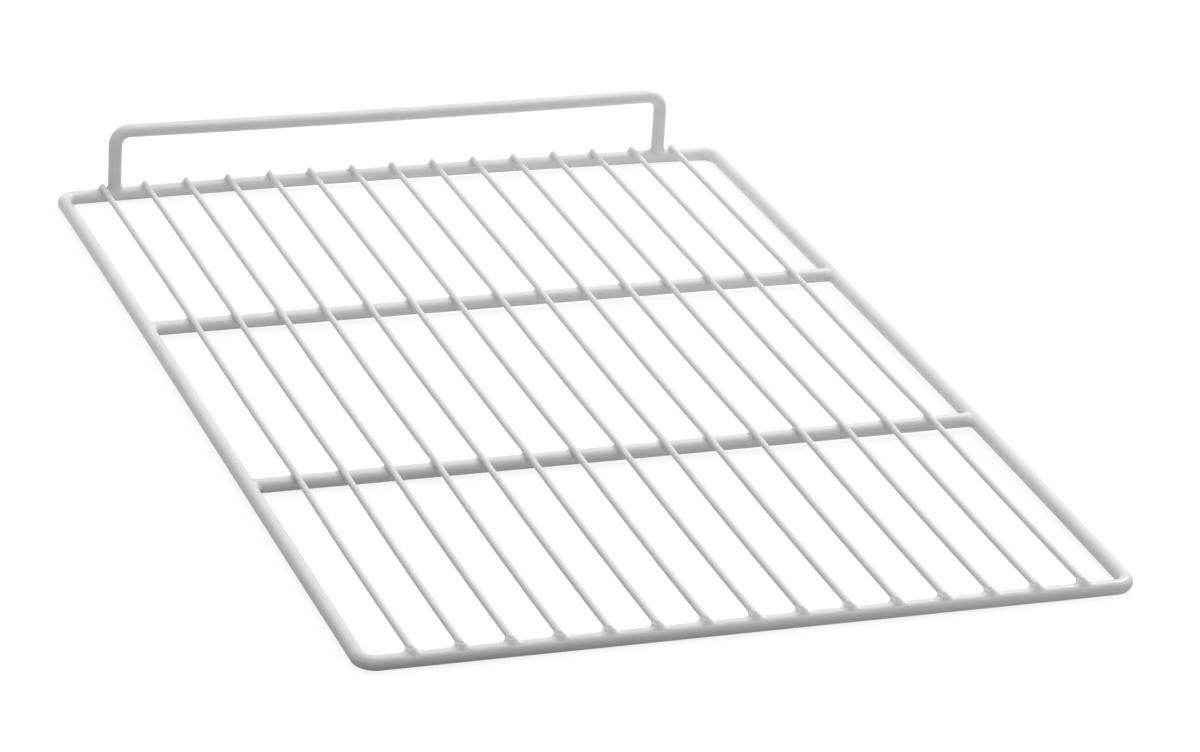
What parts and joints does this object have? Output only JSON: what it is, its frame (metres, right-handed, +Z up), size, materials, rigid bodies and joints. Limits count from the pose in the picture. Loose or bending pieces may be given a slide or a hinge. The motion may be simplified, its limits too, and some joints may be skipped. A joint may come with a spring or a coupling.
{
  "type": "refrigerator wire shelf",
  "caption": "Plastic-coated wire shelf for a refrigerator, with a closed heavy-wire frame, cross bars, thin deck wires on top and a raised stop along the back.",
  "frame": {"origin": "under the middle of the frame, level with the undersides of the frame's rails", "axes": "+X to the right along the width, +Y to the back where the raised stop is, +Z up"},
  "size_m": [0.4, 0.6, 0.0462],
  "materials": {
    "white_coating": "satin plastic coating"
  },
  "bodies": {
    "root": {"perimeter_frame": "white_coating", "rear_cross_bar": "white_coating", "front_cross_bar": "white_coating", "back_stop": "white_coating", "deck_wire_01": "white_coating", "deck_wire_02": "white_coating", "deck_wire_03": "white_coating", "deck_wire_04": "white_coating", "deck_wire_05": "white_coating", "deck_wire_06": "white_coating", "deck_wire_07": "white_coating", "deck_wire_08": "white_coating", "deck_wire_09": "white_coating", "deck_wire_10": "white_coating", "deck_wire_11": "white_coating", "deck_wire_12": "white_coating", "deck_wire_13": "white_coating", "deck_wire_14": "white_coating", "deck_wire_15": "white_coating"}
  },
  "joints": []
}
